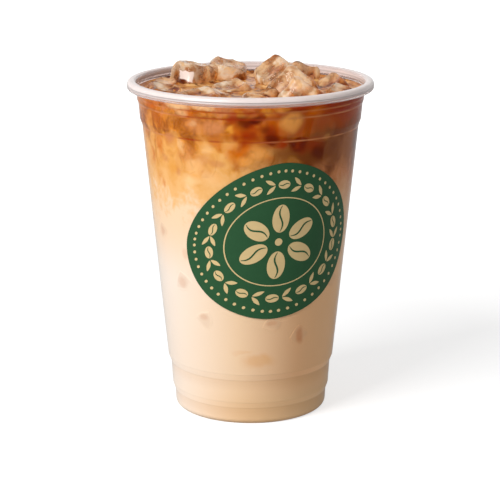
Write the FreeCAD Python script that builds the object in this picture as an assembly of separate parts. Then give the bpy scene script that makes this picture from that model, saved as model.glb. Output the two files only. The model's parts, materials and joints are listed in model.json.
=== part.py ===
"""Iced coffee in a clear takeaway cup, as separate solids in millimetres.

The cup is one thin sheet of plastic formed into a raised base, a foot, a stepped and tapered wall and
a rolled rim.  The drink fills the cup up to its level, and ice cubes float in it, rising over the rim.
The frame stands on the foot: origin on the cup's axis at table height, +Z up, -Y towards the viewer.
"""

import FreeCAD
import Part

import math
import os

from FreeCAD import Vector

# ---- cup: overall sizes -------------------------------------------------------------------------
CUP_HEIGHT = 134.2
RIM_DIAMETER = 98.0
BASE_DIAMETER = 61.2
WALL = 0.45

# ---- cup: rolled rim ----------------------------------------------------------------------------
RIM_WIDTH = 3.6            # from the cup's inner wall out to the widest point
RIM_SKIRT = 3.0            # from the top of the rim down to the bend of its curl
RIM_CURL_WIDTH = 1.6       # how far the curled edge turns back towards the wall
RIM_CURL_DROP = 0.5        # how far it falls on the way
RIM_INNER_BEND = 0.8
RIM_OUTER_BEND = 1.2
RIM_CURL_BEND = 0.7

# ---- cup: base ----------------------------------------------------------------------------------
BASE_PANEL_RADIUS = 23.6
BASE_PANEL_RISE = 2.9      # the panel's edge above the table
BASE_DOME = 0.7            # and its middle above that edge
FOOT_FLAT = 1.4            # width of the ring that the cup stands on
FOOT_BEND = 2.3
PANEL_BEND = 1.4

# ---- cup: wall steps, each a short ledge where the wall moves out -----------------------------------
# (height of the ledge's lower edge above the table, ledge height, how far the wall moves out)
LOWER_STEPS = [(6.6, 2.8, 0.95), (18.5, 3.0, 1.15)]
# (depth of the ledge's upper edge below the rim's top, ledge height, how far the wall moves out)
UPPER_STEPS = [(15.1, 2.6, 0.92), (7.7, 1.0, 0.45), (5.5, 0.7, 0.22)]
LOWER_DRAFT = 0.062        # how far the wall leans out for each unit of height, below the body
UPPER_DRAFT = 0.088        # and above it
STEP_INNER_BEND = 0.5      # bend where a ledge leaves the wall below it
STEP_OUTER_BEND = 0.75     # bend where it meets the wall above it
FINE_STEP = 0.5            # a ledge that moves out less than this is bent more tightly
FINE_BEND = 0.2

# ---- drink and ice ----------------------------------------------------------------------------------
DRINK_BELOW_RIM = 4.4      # from the top of the rim down to the level
ICE_WALL_GAP = 0.35        # water film between the ice and the cup
ICE_GAP = 0.3              # and between neighbouring cubes
ICE_DRAFT = 0.9            # a cube's top is narrower than its foot by this much on each side
ICE_BEND = 3.2             # radius of a cube's worn edges
DIMPLE_RADIUS = 16.0       # the ice machine's dent in a cube's top is part of a ball
DIMPLE_DEPTH = 1.5
ICE_HEADROOM = 30.0        # how far above the rim the ice is still held off the cup's wall line

SHARP = 1e-6               # a bend shorter than this is left as a corner
NEGLIGIBLE = 1e-3          # cubes that share less room than this, in cubic millimetres, are left whole

# Each cube: name, bearing of its place in degrees (0 is +X, 90 is +Y), how far out it lies as a share of
# the cup's inner radius under the rim, height of its middle above the level, its width, depth and height,
# and its turn about Z, X and Y in degrees.
CUBES = [
    ("ice_left", 140, 0.68, 1.0, (16.0, 16.0, 15.0), (42, 4, 10)),
    ("ice_back", 110, 0.63, 0.9, (18.0, 15.0, 14.0), (-6, 8, 12)),
    ("ice_peak", 55, 0.43, 1.4, (16.0, 16.5, 15.5), (24, 14, -38)),
    ("ice_back_right", 54, 0.76, -0.2, (15.0, 14.0, 14.0), (30, -8, 18)),
    ("ice_middle", 345, 0.38, 0.0, (17.0, 16.0, 16.5), (-10, -24, 36)),
    ("ice_front_right", 312, 0.66, -0.6, (18.0, 15.5, 14.5), (-6, -12, 30)),
    ("ice_right", 13, 0.77, -2.2, (12.5, 14.0, 13.0), (18, 12, -32)),
    ("ice_side", 341, 0.80, -2.8, (12.0, 13.0, 13.0), (-22, 10, 18)),
    ("ice_front_left", 232, 0.72, -2.6, (18.0, 14.5, 13.0), (24, 12, -6)),
    ("ice_front", 272, 0.74, -3.2, (14.0, 13.0, 13.0), (-8, 16, 14)),
    ("ice_left_flat", 186, 0.76, -3.5, (15.0, 15.0, 12.0), (12, 8, 10)),
    ("ice_centre", 190, 0.17, -3.0, (16.0, 15.0, 12.5), (28, 9, -10)),
    ("ice_left_back", 162, 0.80, -2.6, (11.0, 11.0, 12.0), (-20, 12, 8)),
    ("ice_back_wall", 79, 0.85, -1.4, (12.0, 10.5, 12.0), (10, 14, -10)),
    ("ice_middle_left", 226, 0.42, -3.4, (13.0, 12.0, 12.0), (-30, -10, 14)),
    ("ice_middle_front", 290, 0.42, -2.8, (12.0, 13.0, 12.0), (20, -14, -18)),
]


def cup_path():
    """The outer face of the plastic from the middle of the base to the edge of the rim's curl.

    Each entry is radius, height and the bend radius of that corner.
    """
    foot_radius = BASE_DIAMETER / 2
    panel_foot = foot_radius - FOOT_BEND - FOOT_FLAT
    path = [
        (0.0, BASE_PANEL_RISE + BASE_DOME, 0.0),
        (BASE_PANEL_RADIUS, BASE_PANEL_RISE, PANEL_BEND),
        (panel_foot, 0.0, PANEL_BEND / 2),
        (foot_radius, 0.0, FOOT_BEND),
    ]
    radius, height = foot_radius, 0.0
    for low, rise, out in LOWER_STEPS:
        radius += (low - height) * LOWER_DRAFT
        path += ledge(radius, low, rise, out)
        radius, height = radius + out, low + rise

    neck_radius = RIM_DIAMETER / 2 - RIM_WIDTH + WALL
    upper = []
    radius, height = neck_radius, CUP_HEIGHT - WALL
    for depth, rise, out in reversed(UPPER_STEPS):
        high = CUP_HEIGHT - depth
        radius -= (height - high) * UPPER_DRAFT
        upper = ledge(radius - out, high - rise, rise, out) + upper
        radius, height = radius - out, high - rise
    path += upper

    skirt_radius = RIM_DIAMETER / 2 - WALL
    skirt_foot = CUP_HEIGHT - RIM_SKIRT
    path += [
        (neck_radius, CUP_HEIGHT - WALL, RIM_INNER_BEND),
        (skirt_radius, CUP_HEIGHT - WALL, RIM_OUTER_BEND),
        (skirt_radius, skirt_foot, RIM_CURL_BEND),
        (skirt_radius - RIM_CURL_WIDTH, skirt_foot - RIM_CURL_DROP, 0.0),
    ]
    return path


def ledge(radius, low, rise, out):
    """The two corners of one wall step that starts at a radius and a height."""
    fine = out < FINE_STEP
    return [
        (radius, low, FINE_BEND if fine else STEP_INNER_BEND),
        (radius + out, low + rise, FINE_BEND + WALL if fine else STEP_OUTER_BEND),
    ]


def side_of(path, offset):
    """The same path moved to its inner side by an offset, with its bends opened or closed to match."""
    corners = [Vector(r, 0, z) for r, z, _ in path]
    runs = [(b - a).normalize() for a, b in zip(corners, corners[1:])]
    normals = [Vector(-run.z, 0, run.x) for run in runs]
    moved = []
    for i, (corner, (_, _, bend)) in enumerate(zip(corners, path)):
        if i == 0:
            shift = Vector(0, 0, offset / normals[0].z)
        elif i == len(runs):
            shift = normals[-1] * offset
        else:
            half = normals[i - 1] + normals[i]
            shift = half * (2 * offset / half.dot(half))
            turns_inward = runs[i - 1].cross(runs[i]).y < 0
            bend = max(bend - offset, 0.0) if turns_inward else bend + offset
        place = corner + shift
        moved.append((place.x, place.z, bend))
    return moved


def bent_edges(path):
    """Straight runs joined by tangent arcs along a path of corners."""
    corners = [Vector(r, 0, z) for r, z, _ in path]
    edges = []
    start = corners[0]
    for before, corner, after, (_, _, bend) in zip(corners, corners[1:], corners[2:], path[1:]):
        back = (before - corner).normalize()
        ahead = (after - corner).normalize()
        half_angle = back.getAngle(ahead) / 2
        reach = bend / math.tan(half_angle)
        if reach < SHARP:
            edges.append(Part.makeLine(start, corner))
            start = corner
            continue
        arc_start = corner + back * reach
        arc_end = corner + ahead * reach
        middle = (back + ahead).normalize()
        arc_middle = corner + middle * (bend / math.sin(half_angle) - bend)
        edges.append(Part.makeLine(start, arc_start))
        edges.append(Part.Arc(arc_start, arc_middle, arc_end).toShape())
        start = arc_end
    edges.append(Part.makeLine(start, corners[-1]))
    return edges


def turned(edges):
    """The solid made by turning a closed outline about the cup's axis."""
    return Part.Face(Part.Wire(edges)).revolve(Vector(0, 0, 0), Vector(0, 0, 1), 360)


def make_cup():
    """The formed sheet, one wall thick everywhere."""
    outer = cup_path()
    inner = side_of(outer, WALL)
    outer_edges = bent_edges(outer)
    inner_edges = bent_edges(inner)
    axis = Part.makeLine(Vector(0, 0, inner[0][1]), Vector(0, 0, outer[0][1]))
    curl_end = Part.makeLine(Vector(outer[-1][0], 0, outer[-1][1]), Vector(inner[-1][0], 0, inner[-1][1]))
    return turned(outer_edges + [curl_end] + inner_edges[::-1] + [axis])


def make_cavity(gap):
    """The space inside the cup, held off the plastic by a gap and carried on upwards past the rim."""
    corners = side_of(cup_path(), WALL + gap)
    neck = corners[:-3]
    top = neck[-1][1] + ICE_HEADROOM
    neck_radius = neck[-1][0]
    closed = neck[:-1] + [(neck_radius, top, 0.0), (0.0, top, 0.0)]
    axis = Part.makeLine(Vector(0, 0, top), Vector(0, 0, closed[0][1]))
    return turned(bent_edges(closed) + [axis])


def drink_level():
    """The height of the drink's surface."""
    return CUP_HEIGHT - DRINK_BELOW_RIM


def raw_cube(size):
    """One worn ice cube about the origin: tapered, with round edges and a dent in its top."""
    width, depth, height = size
    outlines = []
    for z, inset in ((-height / 2, 0.0), (height / 2, ICE_DRAFT)):
        x, y = width / 2 - inset, depth / 2 - inset
        corners = [Vector(-x, -y, z), Vector(x, -y, z), Vector(x, y, z), Vector(-x, y, z)]
        outlines.append(Part.makePolygon(corners + corners[:1]))
    block = Part.makeLoft(outlines, True, True)
    block = block.makeFillet(ICE_BEND, block.Edges)
    ball = Part.makeSphere(DIMPLE_RADIUS, Vector(0, 0, height / 2 - DIMPLE_DEPTH + DIMPLE_RADIUS))
    return block.cut(ball)


def place_of(cube):
    """Where one cube lies in the cup."""
    _, bearing, share, lift, _, (turn_z, turn_x, turn_y) = cube
    distance = share * (RIM_DIAMETER / 2 - RIM_WIDTH)
    x = distance * math.cos(math.radians(bearing))
    y = distance * math.sin(math.radians(bearing))
    turn = FreeCAD.Rotation(Vector(0, 0, 1), turn_z)
    turn = turn.multiply(FreeCAD.Rotation(Vector(1, 0, 0), turn_x))
    turn = turn.multiply(FreeCAD.Rotation(Vector(0, 1, 0), turn_y))
    return FreeCAD.Placement(Vector(x, y, drink_level() + lift), turn)


def make_ice(cavity):
    """The cubes by name, each kept inside the cup and clear of those before it."""
    made = {}
    taken = []
    for cube in CUBES:
        size = cube[4]
        place = place_of(cube)
        piece = raw_cube(size)
        piece.Placement = place
        if piece.cut(cavity).Volume > NEGLIGIBLE:
            piece = piece.common(cavity)
        for other in taken:
            if piece.common(other).Volume > NEGLIGIBLE:
                piece = piece.cut(other)
        made[cube[0]] = max(piece.Solids, key=lambda solid: solid.Volume)
        swollen = raw_cube(tuple(side + 2 * ICE_GAP for side in size))
        swollen.Placement = place
        taken.append(swollen)
    return made


def make_drink(ice):
    """The coffee and milk up to the level, with the ice's share of the room left out."""
    level = drink_level()
    below = Part.makeCylinder(RIM_DIAMETER, level, Vector(0, 0, 0))
    drink = make_cavity(0.0).common(below)
    for piece in ice.values():
        drink = drink.cut(piece)
    return max(drink.Solids, key=lambda solid: solid.Volume)


def main():
    os.makedirs("parts", exist_ok=True)
    ice = make_ice(make_cavity(ICE_WALL_GAP))
    parts = {"cup": make_cup(), "drink": make_drink(ice), **ice}
    for name, shape in parts.items():
        if not shape.isValid() or shape.Volume <= 0:
            raise RuntimeError(f"{name} isn't a sound solid")
        shape.exportStep(os.path.join("parts", f"{name}.step"))
        box = shape.BoundBox
        print(f"{name}: {shape.Volume / 1000:.2f} ml, z {box.ZMin:.2f} to {box.ZMax:.2f}")


main()
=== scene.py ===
"""Looks for an iced coffee in a clear takeaway cup.

The cup, the drink, the floating and sunk ice and the printed field are built in metres around the
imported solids, each by an operator of its own, and lit on a plain floor.
"""

import json
import math
import random
from functools import reduce

import bmesh
import bpy
from bpy.props import FloatProperty, FloatVectorProperty, IntProperty, PointerProperty
from mathutils import Euler, Matrix, Vector, noise
from mathutils.bvhtree import BVHTree

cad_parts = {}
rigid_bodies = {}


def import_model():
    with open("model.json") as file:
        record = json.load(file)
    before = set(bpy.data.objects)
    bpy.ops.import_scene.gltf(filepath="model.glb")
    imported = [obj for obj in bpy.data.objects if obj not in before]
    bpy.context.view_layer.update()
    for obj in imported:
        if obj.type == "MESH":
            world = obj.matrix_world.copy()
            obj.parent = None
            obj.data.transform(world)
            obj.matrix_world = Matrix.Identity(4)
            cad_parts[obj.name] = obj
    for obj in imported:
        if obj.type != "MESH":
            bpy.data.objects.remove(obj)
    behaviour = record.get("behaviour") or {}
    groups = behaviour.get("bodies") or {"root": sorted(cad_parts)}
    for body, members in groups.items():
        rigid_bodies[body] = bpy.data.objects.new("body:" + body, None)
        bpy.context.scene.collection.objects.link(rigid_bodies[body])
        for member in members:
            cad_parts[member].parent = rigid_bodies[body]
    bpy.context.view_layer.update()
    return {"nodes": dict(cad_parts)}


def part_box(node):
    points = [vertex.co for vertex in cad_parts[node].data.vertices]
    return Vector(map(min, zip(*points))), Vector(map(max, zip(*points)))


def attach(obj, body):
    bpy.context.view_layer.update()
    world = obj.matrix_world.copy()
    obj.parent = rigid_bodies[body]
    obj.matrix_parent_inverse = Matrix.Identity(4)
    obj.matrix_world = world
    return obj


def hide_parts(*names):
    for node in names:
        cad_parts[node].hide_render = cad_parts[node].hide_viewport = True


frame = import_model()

bl_info = {
    "name": "Iced coffee",
    "version": (1, 0, 0),
    "blender": (4, 5, 0),
    "location": "View3D > Sidebar > Iced coffee",
    "description": "Builds a clear cup of iced coffee with floating ice and a printed field",
    "category": "Add Mesh",
}

CUP_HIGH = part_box("cup")[1]
MM = 0.001
ROUND_STEPS = 288            # divisions around the cup
ARC_STEP = math.radians(11)  # largest turn between two points of a bend

# ---- the cup's outside face, in millimetres ---------------------------------------------------------
CUP_HEIGHT = CUP_HIGH.z / MM
RIM_RADIUS = CUP_HIGH.x / MM
FOOT_RADIUS = 30.6
WALL = 0.45
RIM_WIDTH = 3.6
RIM_SKIRT = 3.0
RIM_CURL_WIDTH = 1.6
RIM_CURL_DROP = 0.5
GROOVE_DROP = 1.9            # the thin groove around the rim, below its top
GROOVE_HALF = 0.3
GROOVE_DEPTH = 0.36
LOWER_STEPS = ((6.6, 2.8, 0.95), (18.5, 3.0, 1.15))                     # height, rise, outward move
UPPER_STEPS = ((15.1, 2.6, 0.92), (7.7, 1.0, 0.45), (5.5, 0.7, 0.22))   # depth below the rim, rise, move
LOWER_DRAFT = 0.062          # outward move of the wall per unit of height, below and above the middle
UPPER_DRAFT = 0.088
FINE_STEP = 0.5              # a ledge that moves out by less has the fine bends
FINE_BENDS = (0.2, 0.65)
LEDGE_BENDS = (0.5, 0.75)
BASE = ((0.0, 3.6, 0.0), (23.6, 2.9, 1.4), (26.9, 0.0, 0.7))            # radius, height, bend under the foot
FOOT_BEND = 2.3
ROLL_CORNERS = 6             # corners of the rolled rim, after the neck

DRINK_LEVEL = CUP_HEIGHT - 4.4
MENISCUS = 0.8               # how far the drink climbs the wall and the ice
MENISCUS_REACH = 0.9         # how far from them it still climbs
REACH_INTO_WALL = 0.14       # the drink and what is sunk in it end inside the plastic, so no air gap shows


# ---- shader maths -----------------------------------------------------------------------------------
class Socket:
    """A shader output that takes part in arithmetic, each operator adding its Math node."""

    def __init__(self, tree, output):
        self.tree = tree
        self.output = output

    def math(self, operation, *others, clamp=False):
        values = dict(enumerate((self, *others)))
        return self.tree.node("ShaderNodeMath", {"operation": operation, "use_clamp": clamp}, values)

    def __add__(self, other):
        return self.math("ADD", other)

    def __radd__(self, other):
        return self.math("ADD", other)

    def __sub__(self, other):
        return self.math("SUBTRACT", other)

    def __rsub__(self, other):
        return self.tree.node("ShaderNodeMath", {"operation": "SUBTRACT"}, {0: other, 1: self})

    def __mul__(self, other):
        return self.math("MULTIPLY", other)

    def __rmul__(self, other):
        return self.math("MULTIPLY", other)

    def __truediv__(self, other):
        return self.math("DIVIDE", other)

    def highest(self, other):
        return self.math("MAXIMUM", other)

    def clamped(self):
        return self.math("ADD", 0.0, clamp=True)

    def rise(self, low, high):
        """0 below low and 1 above high, with a soft rise between; low may be the larger."""
        settings = {"interpolation_type": "SMOOTHSTEP"}
        return self.tree.node("ShaderNodeMapRange", settings, {0: self, 1: low, 2: high, 3: 0.0, 4: 1.0})

    def rise_mm(self, low, high):
        """The same rise between two lengths in millimetres."""
        return self.rise(low * MM, high * MM)

    def absolute(self):
        return self.math("ABSOLUTE")


def highest_of(masks):
    return reduce(Socket.highest, masks)


class Tree:
    """The node tree of a material or a world, written as expressions."""

    def __init__(self, name, kind="materials"):
        self.owner = getattr(bpy.data, kind).new(name)
        self.owner.use_nodes = True
        self.nodes = self.owner.node_tree.nodes
        self.links = self.owner.node_tree.links
        self.nodes.clear()

    def node(self, kind, settings=None, inputs=None, output=0):
        """Adds a node, sets it up, fills or links its inputs and gives one of its outputs."""
        made = self.nodes.new(kind)
        for key, value in (settings or {}).items():
            if key == "stops":
                self.fill_ramp(made.color_ramp, value)
            else:
                setattr(made, key, value)
        for key, value in (inputs or {}).items():
            if isinstance(value, Socket):
                self.links.new(value.output, made.inputs[key])
            else:
                made.inputs[key].default_value = value
        return Socket(self, made.outputs[output]) if made.outputs else None

    @staticmethod
    def fill_ramp(ramp, stops):
        while len(ramp.elements) < len(stops):
            ramp.elements.new(1.0)
        for element, (place, colour) in zip(ramp.elements, stops):
            element.position = place
            element.color = (*colour, 1.0)

    def place(self):
        """The point on the object, in the frame of the part."""
        return self.node("ShaderNodeTexCoord", output="Object")

    def axis(self, vector, name):
        return self.node("ShaderNodeSeparateXYZ", None, {0: vector}, name)

    def vector(self, operation, first, second, output=0):
        return self.node("ShaderNodeVectorMath", {"operation": operation}, {0: first, 1: second}, output)

    def length(self, vector):
        return self.vector("LENGTH", vector, (0, 0, 0), "Value")

    def noise(self, vector, size, detail=2.0, rough=0.5, colour=False):
        """Cloudy noise whose features are about this many millimetres across."""
        values = {"Vector": vector, "Scale": 1 / (size * MM), "Detail": detail, "Roughness": rough}
        return self.node("ShaderNodeTexNoise", None, values, "Color" if colour else "Fac")

    def warped(self, vector, size, amount):
        """The vector pushed about by noise, by up to about this many millimetres."""
        push = self.vector("SUBTRACT", self.noise(vector, size, colour=True), (0.5, 0.5, 0.5))
        return self.vector("ADD", vector, self.scaled(push, amount))

    def scaled(self, vector, amount):
        factor = 2 * amount * MM
        return self.vector("MULTIPLY", vector, (factor, factor, factor))

    def mix(self, factor, first, second, blend="MIX"):
        values = {"Factor": factor, 6: colour_of(first), 7: colour_of(second)}
        return self.node("ShaderNodeMix", {"data_type": "RGBA", "blend_type": blend}, values, 2)

    def ramp(self, factor, *stops):
        return self.node("ShaderNodeValToRGB", {"stops": stops}, {0: factor})

    def bump(self, height, depth):
        """A normal from a height from 0 to 1 that stands for this many millimetres."""
        return self.node("ShaderNodeBump", None, {"Height": height, "Distance": depth * MM})

    def surface(self, inputs):
        return self.node("ShaderNodeBsdfPrincipled", None, inputs)

    def blend(self, share, first, second):
        """A share of the second surface over the first."""
        return self.node("ShaderNodeMixShader", None, {0: share, 1: first, 2: second})

    def rays(self, *kinds):
        """1 for rays of these kinds and 0 for others."""
        return highest_of(self.node("ShaderNodeLightPath", output=f"Is {kind} Ray") for kind in kinds)

    def finish(self, surface):
        self.node("ShaderNodeOutputMaterial", None, {"Surface": surface})
        return self.owner

    def finish_clear(self, surface, light_colour):
        """A clear surface that lets the lamps and scattered light through to what lies behind it."""
        passing = self.node("ShaderNodeBsdfTransparent", None, {"Color": (*light_colour, 1.0)})
        return self.finish(self.blend(self.rays("Shadow", "Diffuse"), surface, passing))


def colour_of(value):
    return value if isinstance(value, Socket) else (*value[:3], 1.0)


WHITE = (1.0, 1.0, 1.0)


def srgb(red, green, blue):
    """A linear colour from 0 to 255 display values."""
    shares = (channel / 255 for channel in (red, green, blue))
    return tuple(s / 12.92 if s <= 0.04045 else ((s + 0.055) / 1.055) ** 2.4 for s in shares)


def darker(colour, share):
    return tuple(share * channel for channel in colour)


# ---- shapes -----------------------------------------------------------------------------------------
def step_corners(radius, low, rise, out):
    """The two corners of a short ledge where the wall moves out."""
    low_bend, high_bend = FINE_BENDS if out < FINE_STEP else LEDGE_BENDS
    return [(radius, low, low_bend), (radius + out, low + rise, high_bend)]


def cup_corners():
    """Radius, height and bend of each corner of the cup's outside face, from base to curl, in mm."""
    corners = [*BASE, (FOOT_RADIUS, 0.0, FOOT_BEND)]
    radius, height = FOOT_RADIUS, 0.0
    for low, rise, out in LOWER_STEPS:
        radius += (low - height) * LOWER_DRAFT
        corners += step_corners(radius, low, rise, out)
        radius, height = radius + out, low + rise

    neck = RIM_RADIUS - RIM_WIDTH + WALL
    upper = []
    radius, height = neck, CUP_HEIGHT - WALL
    for depth, rise, out in reversed(UPPER_STEPS):
        high = CUP_HEIGHT - depth
        radius -= (height - high) * UPPER_DRAFT
        upper = step_corners(radius - out, high - rise, rise, out) + upper
        radius, height = radius - out, high - rise
    skirt = RIM_RADIUS - WALL
    groove = CUP_HEIGHT - GROOVE_DROP
    low = CUP_HEIGHT - RIM_SKIRT
    return corners + upper + [
        (neck, CUP_HEIGHT - WALL, 0.8),
        (skirt, CUP_HEIGHT - WALL, 1.2),
        (skirt, groove + GROOVE_HALF, 0.0),
        (skirt - GROOVE_DEPTH, groove, 0.0),
        (skirt, groove - GROOVE_HALF, 0.0),
        (skirt, low, 0.45),
        (skirt - RIM_CURL_WIDTH, low - RIM_CURL_DROP, 0.0),
    ]


def shifted(corners, offset):
    """The corners moved to the inner side of their line, with bends opened or closed to match."""
    points = [Vector((r, z)) for r, z, _ in corners]
    runs = [(b - a).normalized() for a, b in zip(points, points[1:])]
    sides = [Vector((-run.y, run.x)) for run in runs]
    moved = []
    for i, (point, (_, _, bend)) in enumerate(zip(points, corners)):
        if i == 0:
            place = point + Vector((0, offset / sides[0].y))
        elif i == len(runs):
            place = point + sides[-1] * offset
        else:
            half = sides[i - 1] + sides[i]
            place = point + half * (2 * offset / half.length_squared)
            inward = runs[i - 1].cross(runs[i]) > 0
            bend = max(bend - offset, 0.0) if inward else bend + offset
        moved.append((place.x, place.y, bend))
    return moved


def rounded(corners):
    """Points along the corners' line with each bend as an arc."""
    points = [Vector((r, z)) for r, z, _ in corners]
    line = [points[0]]
    for before, corner, after, (_, _, bend) in zip(points, points[1:], points[2:], corners[1:]):
        back, ahead = (before - corner).normalized(), (after - corner).normalized()
        half_angle = back.angle(ahead) / 2
        reach = bend / math.tan(half_angle)
        if reach < 1e-3:
            line.append(corner)
            continue
        centre = corner + (back + ahead).normalized() * (bend / math.sin(half_angle))
        start = corner + back * reach - centre
        turn = (corner + ahead * reach - centre).angle_signed(start)
        count = max(2, math.ceil(abs(turn) / ARC_STEP))
        for k in range(count + 1):
            line.append(centre + Matrix.Rotation(turn * k / count, 2) @ start)
    return line + [points[-1]]


def split(line, height):
    """The line with a point added where it first rises past a height."""
    for k, (low, high) in enumerate(zip(line, line[1:])):
        if low.y < height < high.y:
            return line[:k + 1] + [low.lerp(high, (height - low.y) / (high.y - low.y))] + line[k + 1:]
    return line


def wall_radius(height, offset=0.0):
    """The radius of the cup's outside face at a height, less an offset into the wall, in mm."""
    for low, high in zip(WALL_LINE, WALL_LINE[1:]):
        if low.y <= height <= high.y and high.y > low.y:
            return low.x + (high.x - low.x) * (height - low.y) / (high.y - low.y) - offset
    return WALL_LINE[-1].x - offset


WALL_LINE = rounded(cup_corners()[len(BASE):-ROLL_CORNERS])


def add_object(name, mesh, *materials):
    made = bpy.data.objects.new(name, mesh)
    bpy.context.scene.collection.objects.link(made)
    for material in materials:
        mesh.materials.append(material)
    return made


def mesh_of(name, points, faces, smooth=True):
    mesh = bpy.data.meshes.new(name)
    mesh.from_pydata(points, [], faces)
    mesh.update()
    mesh.polygons.foreach_set("use_smooth", [smooth] * len(mesh.polygons))
    return mesh


def turned(name, line):
    """A mesh made by turning a line of radius and height points, in mm, about the cup's axis."""
    points, rings = [], []
    for point in line:
        if point.x < 1e-4:
            rings.append([len(points)])
            points.append((0, 0, point.y * MM))
            continue
        rings.append(list(range(len(points), len(points) + ROUND_STEPS)))
        for k in range(ROUND_STEPS):
            turn = 2 * math.pi * k / ROUND_STEPS
            points.append((point.x * MM * math.cos(turn), point.x * MM * math.sin(turn), point.y * MM))
    faces = []
    for low, high in zip(rings, rings[1:]):
        for k in range(ROUND_STEPS):
            n = (k + 1) % ROUND_STEPS
            corners = [low[k % len(low)], low[n % len(low)], high[n % len(high)], high[k % len(high)]]
            face = list(dict.fromkeys(corners))
            if len(face) > 2:
                faces.append(face)
    return mesh_of(name, points, faces)


def settle(piece):
    """Applies a piece's modifiers to its mesh."""
    evaluated = piece.evaluated_get(bpy.context.evaluated_depsgraph_get())
    mesh = bpy.data.meshes.new_from_object(evaluated)
    piece.modifiers.clear()
    old = piece.data
    piece.data = mesh
    bpy.data.meshes.remove(old)
    mesh.polygons.foreach_set("use_smooth", [True] * len(mesh.polygons))


def box_of(places):
    """The lowest and the highest corner of some points."""
    return [Vector([pick(place[k] for place in places) for k in range(3)]) for pick in (min, max)]


# ---- finishes ---------------------------------------------------------------------------------------
def clear_plastic(cup):
    """Thin clear plastic with the faint waviness of formed sheet."""
    tree = Tree("clear_plastic")
    place = tree.place()
    waves = tree.noise(tree.vector("MULTIPLY", place, (1, 1, 0.35)), 9, detail=1)
    smears = tree.noise(place, 14, detail=3)
    surface = tree.surface({
        "Base Color": (*cup.wall_colour, 1.0),
        "Roughness": 0.03 + 0.09 * smears,
        "IOR": 1.18,
        "Transmission Weight": 1.0,
        "Normal": tree.bump(waves, 0.12),
    })
    return tree.finish_clear(surface, cup.wall_colour)


def milky_plastic(cup):
    """The rim, where the rolled plastic looks milky."""
    tree = Tree("milky_plastic")
    place = tree.place()
    height = tree.axis(place, "Z")
    groove = (height - (CUP_HEIGHT - GROOVE_DROP) * MM).absolute().rise_mm(0.55, 0.1)
    cloud = tree.noise(place, 6, detail=3)
    colour = tree.mix(cloud, cup.rim_colour, darker(cup.rim_colour, 0.95))
    gloss = {
        "Base Color": tree.mix(groove * 0.5, colour, cup.groove_colour),
        "Roughness": 0.14 + 0.12 * cloud,
        "IOR": 1.46,
        "Normal": tree.bump(cloud, 0.05),
    }
    clear = tree.surface({**gloss, "Transmission Weight": 1.0})
    skirt = height.rise_mm(CUP_HEIGHT - RIM_SKIRT + 0.3, CUP_HEIGHT - RIM_SKIRT + 0.9)
    from_axis = tree.length(tree.vector("MULTIPLY", place, (1, 1, 0)))
    outer = from_axis.rise_mm(RIM_RADIUS - RIM_WIDTH, RIM_RADIUS - RIM_WIDTH + 0.9)
    inner_top = height.rise_mm(CUP_HEIGHT - 1.3, CUP_HEIGHT - 0.5) * (1 - outer)
    share = cup.rim_milk * (0.85 + 0.3 * cloud) * (0.12 + 0.88 * skirt) * (1 - 0.7 * inner_top)
    return tree.finish_clear(tree.blend(share, clear, tree.surface(gloss)), cup.rim_colour)


def wall_point(bearing, height, inward=0.0):
    """A point of the wall by its bearing in degrees to the right of the front, and its height in mm."""
    radius = wall_radius(height, inward) * MM
    turn = math.radians(bearing)
    return Vector((radius * math.sin(turn), -radius * math.cos(turn), height * MM))


def patch(tree, place, core, bearing, height, radius, tall, amount):
    """A soft spot on the wall, full up to this core share of its radius in mm, and gone at the radius."""
    away = tree.vector("SUBTRACT", place, tuple(wall_point(bearing, height)))
    away = tree.vector("MULTIPLY", away, (1.0, 1.0, 1.0 / tall))
    return tree.length(away).rise_mm(radius, core * radius) * amount


# Bearing, height, radius, how much taller than wide, and strength of each spot in the drink.
BROWN_SPOTS = (
    (47.5, 112, 9, 1.0, 0.85), (63, 114, 9, 1.3, 0.5), (37.7, 110.5, 7, 0.8, 0.8), (27, 112, 4, 0.6, 0.3),
    (46.5, 105, 5, 1.0, 0.7), (-71, 121, 3.5, 1.5, 0.6), (-68, 115, 3, 1.5, 0.4),
    (50, 116.5, 7, 0.7, 0.5), (16, 111.5, 4, 0.6, 0.4), (51, 106, 0.8, 6.0, 0.8), (49, 99, 0.7, 4.0, 0.5),
    (76, 118, 9, 1.5, 0.5),
)
ORANGE_SPOTS = (
    (-2.7, 121, 11, 1.1, 0.9), (-7, 112.5, 6.2, 0.9, 1.0), (8, 127.7, 5.5, 0.7, 1.0),
    (-1.8, 114, 5, 0.8, 0.9), (13, 121, 7, 1.2, 0.9), (-17, 117, 5, 1.0, 0.55), (-53, 125, 8, 0.9, 0.4),
    (-55, 112.5, 3.6, 1.5, 0.6), (8, 110, 3.5, 0.6, 0.5), (-66, 107, 2.6, 1.8, 0.5),
    (-33, 126.5, 7, 0.35, 0.9), (-58, 128, 7, 0.3, 0.9), (-55.4, 96, 1.7, 2.2, 0.5),
    (27, 118.5, 6, 0.6, 0.6), (-58.4, 99.7, 3, 1.2, 0.3), (33, 126.6, 7, 0.6, 1.0),
)
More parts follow.
